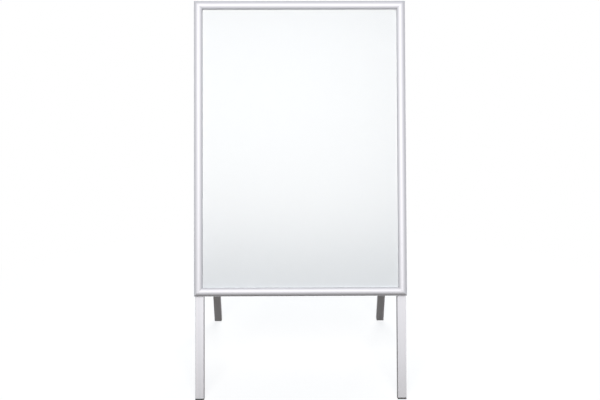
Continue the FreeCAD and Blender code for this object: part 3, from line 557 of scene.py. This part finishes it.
def add_clear_sheet(leaf):
    bm = bmesh.new()
    bmesh.ops.create_grid(bm, x_segments=1, y_segments=1, size=1.0)
    bmesh.ops.scale(bm, vec=(HALF_WIDTH, HALF_HEIGHT, 1), verts=bm.verts)
    bmesh.ops.bevel(bm, geom=bm.verts[:], offset=SHEET_CORNER, affect="VERTICES",
                    segments=CORNER_STEPS, profile=0.5, material=-1)
    grown = bmesh.ops.extrude_face_region(bm, geom=bm.faces[:])
    front = [item for item in grown["geom"] if isinstance(item, bmesh.types.BMVert)]
    bmesh.ops.translate(bm, vec=(0, 0, FILM_FRONT - FILM_BACK), verts=front)
    seat = LEAVES[leaf] @ Matrix.Translation((0, -FRAME_BACK - FILM_BACK, FRAME_MIDDLE))
    bmesh.ops.transform(bm, matrix=seat @ Matrix.Rotation(math.pi / 2, 4, "X"), verts=bm.verts)
    bmesh.ops.recalc_face_normals(bm, faces=bm.faces)
    node = f"{leaf}_clear_sheet"
    finish_piece(f"{node}_film", bm, FILM, f"{leaf}_leaf", "clear_sheet", node)


for leaf in LEAVES:
    add_clear_sheet(leaf)

# Turned pieces: rivets, pins and push nuts, as (radius, level) along their own axis
FULL_TURN = 2 * math.pi
TURN_STEPS, DOME_STEPS = 40, 8


def traced(outline):
    """Line through an outline's points, with its first and last vertex."""
    bm = bmesh.new()
    first = last = bm.verts.new((outline[0][0], 0, outline[0][1]))
    for radius, level in outline[1:]:
        last = bmesh.ops.extrude_vert_indiv(bm, verts=[last])["verts"][0]
        last.co = (radius, 0, level)
    return bm, first, last


def turned_piece(bm, outline, dome, seat):
    """Spin an outline about its axis. The outline ends at a rim, and a dome closes it."""
    spun, _, last = traced(outline)
    rim_radius, rim_level = outline[-1]
    rise = dome - rim_level
    sphere = (rim_radius ** 2 + rise ** 2) / (2 * rise)
    sweep = math.asin(rim_radius / sphere)
    bmesh.ops.spin(spun, geom=[last], cent=(0, 0, dome - sphere), axis=(0, -1, 0),
                   angle=sweep, steps=DOME_STEPS)
    bmesh.ops.spin(spun, geom=spun.verts[:] + spun.edges[:], cent=(0, 0, 0), axis=(0, 0, 1),
                   angle=FULL_TURN, steps=TURN_STEPS, use_merge=True)
    bmesh.ops.remove_doubles(spun, verts=spun.verts, dist=SPIN_MERGE)
    bmesh.ops.recalc_face_normals(spun, faces=spun.faces)
    join(bm, spun, seat)


def facing(x_way):
    """Turn that lays a turned piece's axis along +X or -X."""
    return Matrix.Rotation(math.copysign(math.pi / 2, x_way), 4, "Y")


# Rivets of the stays, whose links and spacers make a stack on the leg's inner side
STAY_STACK = 7.0 * MM
STAY_PIN, STAY_HEAD, STAY_HEAD_HEIGHT = 3.0 * MM, 6.5 * MM, 1.8 * MM
STAY_TAIL, STAY_TAIL_LENGTH = 4.5 * MM, 2.5 * MM
STAY_TAIL_TIP = STAY_TAIL * 0.6
HEAD_RIM = 0.5 * MM


def add_stay_rivets(leaf):
    """Pivot rivets of the stays: a tail formed inside the leg, a pin and a domed head."""
    bm = bmesh.new()
    tip = -LEG_WALL - STAY_TAIL_LENGTH
    outline = [(0, tip), (STAY_TAIL_TIP, tip), (STAY_TAIL, tip + STAY_TAIL_LENGTH / 2),
               (STAY_TAIL, -LEG_WALL), (STAY_PIN, -LEG_WALL), (STAY_PIN, STAY_STACK),
               (STAY_HEAD, STAY_STACK), (STAY_HEAD, STAY_STACK + HEAD_RIM)]
    for sign in (-1, 1):
        seat = LEAVES[leaf] @ Matrix.Translation((sign * LEG_INNER, -LEG_CENTRE, -STAY_DROP)) @ facing(-sign)
        turned_piece(bm, outline, STAY_STACK + STAY_HEAD_HEIGHT, seat)
    finish_piece(f"{leaf}_stay_rivet_heads", bm, ZINC, f"{leaf}_leaf", "zinc_steel", f"{leaf}_stay_rivets")


# Hinge pins, measured from the outer side of the legs
PIN, PIN_HEAD, PIN_HEAD_HEIGHT, PIN_SIDE_GAP = 4.0 * MM, 7.0 * MM, 1.5 * MM, 0.1 * MM
PIN_END, PIN_CHAMFER = 28.7 * MM, 0.5 * MM


def add_hinge_pins():
    """Pins with a chamfered end and a domed head on the outer side of the knuckles."""
    bm = bmesh.new()
    outline = [(0, -PIN_END), (PIN - PIN_CHAMFER, -PIN_END), (PIN, -PIN_END + PIN_CHAMFER),
               (PIN, PIN_SIDE_GAP), (PIN_HEAD, PIN_SIDE_GAP), (PIN_HEAD, PIN_SIDE_GAP + HEAD_RIM)]
    for sign in (-1, 1):
        seat = Matrix.Translation((sign * LEG_OUTER, 0, HINGE_HEIGHT)) @ facing(sign)
        turned_piece(bm, outline, PIN_SIDE_GAP + PIN_HEAD_HEIGHT, seat)
    finish_piece("hinge_pin_pair", bm, ZINC, "front_leaf", "zinc_steel", "hinge_pins")


# Push nuts, pressed from sheet: a flat rim, and teeth that rise to grip the pin
NUT_SEAT, NUT_RADIUS, NUT_RISE = 25.1 * MM, 7.5 * MM, 1.6 * MM
NUT_BORE, NUT_RIM, NUT_SHEET, RIM_OVERLAP = 4.05 * MM, 5.8 * MM, 0.5 * MM, 0.1 * MM
NUT_TEETH, TOOTH_SWEEP = 6, math.radians(46)
NUT_STEPS, TOOTH_STEPS = 48, 8


def swept_section(outline, start, sweep, steps):
    """Solid that a closed section leaves as it turns about the axis, in a full turn or a part of one."""
    part, first, last = traced(outline)
    part.edges.new((last, first))
    whole = sweep >= FULL_TURN
    if not whole:
        bmesh.ops.contextual_create(part, geom=part.edges[:])
    bmesh.ops.rotate(part, cent=(0, 0, 0), matrix=Matrix.Rotation(start, 3, "Z"), verts=part.verts)
    bmesh.ops.spin(part, geom=part.verts[:] + part.edges[:] + part.faces[:], cent=(0, 0, 0),
                   axis=(0, 0, 1), angle=sweep, steps=steps, use_merge=whole)
    bmesh.ops.recalc_face_normals(part, faces=part.faces)
    return part


def add_push_nuts():
    bm = bmesh.new()
    rim = [(NUT_RIM, 0), (NUT_RADIUS, 0), (NUT_RADIUS, NUT_SHEET), (NUT_RIM, NUT_SHEET)]
    tooth = [(NUT_RIM + RIM_OVERLAP, 0), (NUT_RIM + RIM_OVERLAP, NUT_SHEET),
             (NUT_BORE, NUT_RISE), (NUT_BORE, NUT_RISE - NUT_SHEET)]
    for sign in (-1, 1):
        seat = Matrix.Translation((sign * (LEG_OUTER - NUT_SEAT), 0, HINGE_HEIGHT)) @ facing(-sign)
        join(bm, swept_section(rim, 0, FULL_TURN, NUT_STEPS), seat)
        for index in range(NUT_TEETH):
            start = FULL_TURN * index / NUT_TEETH
            join(bm, swept_section(tooth, start, TOOTH_SWEEP, TOOTH_STEPS), seat)
    finish_piece("hinge_push_nut_pair", bm, ZINC, "front_leaf", "zinc_steel", "hinge_push_nuts")


for leaf in LEAVES:
    add_stay_rivets(leaf)
add_hinge_pins()
add_push_nuts()

# Grub screws of the corner keys, with a hexagon socket in their front end
SCREW_INSET, SCREW_ALONG = 8.4 * MM, 40 * MM
SCREW_RADIUS, SCREW_LENGTH, SCREW_FRONT = 2.0 * MM, 2.4 * MM, 3.6 * MM
SCREW_CHAMFER, HEXAGON, HEXAGON_DEPTH = 0.25 * MM, 1.15 * MM, 1.4 * MM
SCREW_SIDES, HEXAGON_SIDES = 36, 6


def drawn_back(bm, rim, spread, depth):
    """Extrude a rim backwards, scaled by the spread, and return the new rim."""
    grown = bmesh.ops.extrude_edge_only(bm, edges=rim)["geom"]
    moved = [item for item in grown if isinstance(item, bmesh.types.BMVert)]
    bmesh.ops.scale(bm, vec=(spread, spread, 1), verts=moved)
    bmesh.ops.translate(bm, vec=(0, 0, -depth), verts=moved)
    return [item for item in grown if isinstance(item, bmesh.types.BMEdge) and set(item.verts) <= set(moved)]


def socket_screw():
    """Screw that points backwards, with its front end and the socket's mouth at level 0."""
    bm = bmesh.new()
    front = SCREW_RADIUS - SCREW_CHAMFER
    bmesh.ops.create_circle(bm, radius=front, segments=SCREW_SIDES)
    edge = bm.edges[:]
    bmesh.ops.create_circle(bm, radius=HEXAGON, segments=HEXAGON_SIDES)
    hexagon = [item for item in bm.edges if item not in edge]
    bmesh.ops.triangle_fill(bm, use_beauty=True, edges=bm.edges[:])
    shoulder = drawn_back(bm, edge, SCREW_RADIUS / front, SCREW_CHAMFER)
    foot = drawn_back(bm, shoulder, 1.0, SCREW_LENGTH - SCREW_CHAMFER)
    floor = drawn_back(bm, hexagon, 1.0, HEXAGON_DEPTH)
    for rim in (foot, floor):
        bmesh.ops.contextual_create(bm, geom=rim)
    bmesh.ops.recalc_face_normals(bm, faces=bm.faces)
    return bm


def add_key_screws(leaf):
    bm = bmesh.new()
    for side in SIDES:
        length, half_across = side_sizes(side)
        for inset, along in ((SCREW_INSET, SCREW_ALONG), (SCREW_ALONG, SCREW_INSET)):
            front = (along - length / 2, -FRAME_BACK - SCREW_FRONT, half_across - inset)
            seat = side_seat(leaf, side) @ Matrix.Translation(front) @ Matrix.Rotation(math.pi / 2, 4, "X")
            join(bm, socket_screw(), seat)
    node = f"{leaf}_key_screws"
    finish_piece(f"{node}_socketed", bm, ZINC, f"{leaf}_leaf", "zinc_steel", node)


for leaf in LEAVES:
    add_key_screws(leaf)

# Solids that keep their shape, with eased edges and round faces shaded smooth
FOOT_EASE, KNUCKLE_EASE, LINK_EASE = 0.25 * MM, 0.4 * MM, 0.25 * MM
RIVET_EASE, KEY_EASE, SPACER_EASE = 0.2 * MM, 0.2 * MM, 0.15 * MM

for leaf in LEAVES:
    body = f"{leaf}_leaf"
    for side in SIDES:
        grain = "across" if side in ("top", "bottom") else leaf
        eased_copy(f"{leaf}_{side}_rail", ANODISED[grain], body, "anodised_aluminium")
    for side in ("left", "right"):
        eased_copy(f"{leaf}_{side}_leg", ANODISED[leaf], body, "anodised_aluminium")
        eased_copy(f"{leaf}_{side}_foot", BLACK_PLASTIC, body, "black_plastic", FOOT_EASE)
        eased_copy(f"{leaf}_{side}_knuckle", BLACK_PLASTIC, body, "black_plastic", KNUCKLE_EASE)
        link = f"{side}_{leaf}_link"
        eased_copy(link, ZINC, link, "zinc_steel", LINK_EASE)
        eased_copy(f"{link}_rivet", ZINC, link, "zinc_steel", RIVET_EASE)
    eased_copy(f"{leaf}_snap_springs", ZINC, body, "zinc_steel")
    eased_copy(f"{leaf}_corner_keys", MILL, body, "mill_aluminium", KEY_EASE)
    eased_copy(f"{leaf}_leg_rivets", ZINC, body, "zinc_steel")
    eased_copy(f"{leaf}_stay_spacers", NYLON, body, "white_nylon", SPACER_EASE)
    for node, material in ((f"{leaf}_back_panel", GALVANISED), (f"{leaf}_poster", POSTER)):
        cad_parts[node].data.materials.clear()
        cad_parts[node].data.materials.append(material)

# Camera, at the photograph's place
FOCAL_PIXELS, PHOTO_WIDTH, SENSOR_WIDTH = 828.6, 600, 36
CAMERA_PLACE = (-0.0226, -2.5476, 1.1329)
CAMERA_PITCH, CAMERA_HEADING = math.radians(13.397), math.radians(-0.5286)
CAMERA_ROLL = math.radians(-0.0824)


def add_camera():
    camera = bpy.data.cameras.new("camera")
    camera.sensor_width = SENSOR_WIDTH
    camera.lens = SENSOR_WIDTH * FOCAL_PIXELS / PHOTO_WIDTH
    holder = bpy.data.objects.new("camera", camera)
    holder.matrix_world = (Matrix.Translation(CAMERA_PLACE) @ Matrix.Rotation(CAMERA_HEADING, 4, "Z")
                           @ Matrix.Rotation(math.pi / 2 - CAMERA_PITCH, 4, "X")
                           @ Matrix.Rotation(CAMERA_ROLL, 4, "Z"))
    bpy.context.scene.collection.objects.link(holder)
    bpy.context.scene.camera = holder


# Studio
WHITE, BLACK = (1, 1, 1, 1), (0, 0, 0, 1)


def add_lamp(name, place, aim, size, power, colour):
    lamp = bpy.data.lights.new(name, "AREA")
    lamp.shape = "RECTANGLE"
    lamp.size, lamp.size_y = size
    lamp.energy = power
    lamp.color = colour
    holder = bpy.data.objects.new(name, lamp)
    holder.location = place
    holder.rotation_euler = (Vector(aim) - Vector(place)).to_track_quat("-Z", "Y").to_euler()
    bpy.context.scene.collection.objects.link(holder)


def seen_by(tree, *rays):
    """1 for rays of the named kinds, 0 for the others."""
    path = tree.nodes.new("ShaderNodeLightPath")
    total = path.outputs[rays[0]]
    for ray in rays[1:]:
        total = maths(tree, "MAXIMUM", total, path.outputs[ray])
    return total


def add_world(fill):
    """White round the sign for the camera and for what is mirrored, and a soft fill light for the rest."""
    world = bpy.data.worlds.new("studio")
    world.use_nodes = True
    tree = world.node_tree
    sky = tree.nodes["Background"]
    seen = seen_by(tree, "Is Camera Ray", "Is Glossy Ray", "Is Transmission Ray")
    feed(tree, sky, "Color", mixed(tree, seen, fill, WHITE))
    bpy.context.scene.world = world


# Floor: its colour for the camera, the dark brown painted shade that bounced light and the metal see near the
# sign, and where it starts and ends to turn white
# The second colour is painted shade: the floor is dark and brown for bounced light and in the metal, while
# the camera sees it pale
FLOOR_SEEN, FLOOR_PAINTED_SHADE = (0.33, 0.33, 0.33, 1), (0.165, 0.13, 0.095, 1)
FLOOR_GLOW = 0.77
FLOOR_SIZE, FLOOR_LEVEL = 12.0, -0.3 * MM
SHADOW_MIDDLE, SHADOW_START, SHADOW_END = (0, 0, 0), 0.5, 1.6
# The metal sees painted shade on the floor round a middle in front of the sign, and white from the start to
# the end distance
SHADE_MIRROR_MIDDLE, SHADE_MIRROR_START, SHADE_MIRROR_END = (0, -0.25, 0), 0.7, 1.45


def away_from(tree, place, middle):
    """Distance of a place from a middle."""
    offset = add(tree, "ShaderNodeVectorMath", operation="DISTANCE")
    feed(tree, offset, 0, place)
    feed(tree, offset, 1, middle)
    return offset.outputs["Value"]


def add_floor():
    """Pale floor that keeps the sign's shadow and runs out into the white round it.

    The camera sees it matt with a glow that makes it just white where no shadow falls. The metal mirrors it
    with painted shade, dark and brown round a spot in front of the sign, and white further out; bounced light
    sees the same dark brown painted shade everywhere."""
    bm = bmesh.new()
    bmesh.ops.create_grid(bm, x_segments=1, y_segments=1, size=FLOOR_SIZE)
    bmesh.ops.translate(bm, vec=(0, 0, FLOOR_LEVEL), verts=bm.verts)
    mesh = bpy.data.meshes.new("floor")
    bm.to_mesh(mesh)
    bm.free()
    floor = bpy.data.objects.new("floor", mesh)
    bpy.context.scene.collection.objects.link(floor)
    material = bpy.data.materials.new("pale_floor")
    material.use_nodes = True
    tree = material.node_tree
    tree.nodes.remove(tree.nodes["Principled BSDF"])
    matt = tree.nodes.new("ShaderNodeBsdfDiffuse")
    glow = tree.nodes.new("ShaderNodeEmission")
    place = tree.nodes.new("ShaderNodeTexCoord").outputs["Object"]
    camera = seen_by(tree, "Is Camera Ray", "Is Transmission Ray")
    clear = ranged(tree, away_from(tree, place, SHADOW_MIDDLE), SHADOW_START, SHADOW_END, 0.0, 1.0)
    # Painted shade in the metal: the floor it mirrors is dark near the sign and turns white further out
    past_mirrored_shade = ranged(tree, away_from(tree, place, SHADE_MIRROR_MIDDLE), SHADE_MIRROR_START, SHADE_MIRROR_END, 0.0, 1.0)
    clear = maths(tree, "MULTIPLY", clear, camera)
    past_mirrored_shade = maths(tree, "MULTIPLY", past_mirrored_shade, seen_by(tree, "Is Glossy Ray"))
    white = maths(tree, "MAXIMUM", clear, past_mirrored_shade)
    # Painted shade for bounced light and mirrors: the matt floor is dark brown for every ray but the camera's
    matt_or_painted_shade = mixed(tree, camera, FLOOR_PAINTED_SHADE, FLOOR_SEEN)
    feed(tree, matt, "Color", mixed(tree, white, matt_or_painted_shade, BLACK))
    near_glow = maths(tree, "MULTIPLY", camera, FLOOR_GLOW)
    feed(tree, glow, "Strength", ranged(tree, white, 0.0, 1.0, near_glow, 1.0))
    both = tree.nodes.new("ShaderNodeAddShader")
    tree.links.new(matt.outputs["BSDF"], both.inputs[0])
    tree.links.new(glow.outputs["Emission"], both.inputs[1])
    tree.links.new(both.outputs["Shader"], tree.nodes["Material Output"].inputs["Surface"])
    mesh.materials.append(material)


bpy.context.scene.view_settings.view_transform = "Standard"
add_camera()
add_world(fill=(0.16, 0.23, 0.30, 1))
add_lamp("key_lamp", place=(-0.17, -3.33, 2.15), aim=(0, -0.1, 0.75), size=(2.4, 1.9),
         power=104, colour=(1.0, 0.95, 0.9))
add_lamp("rear_lamp", place=(0.3, 3.33, 2.3), aim=(0, 0.1, 0.75), size=(2.2, 1.9),
         power=92, colour=(1.0, 0.96, 0.92))
add_floor()
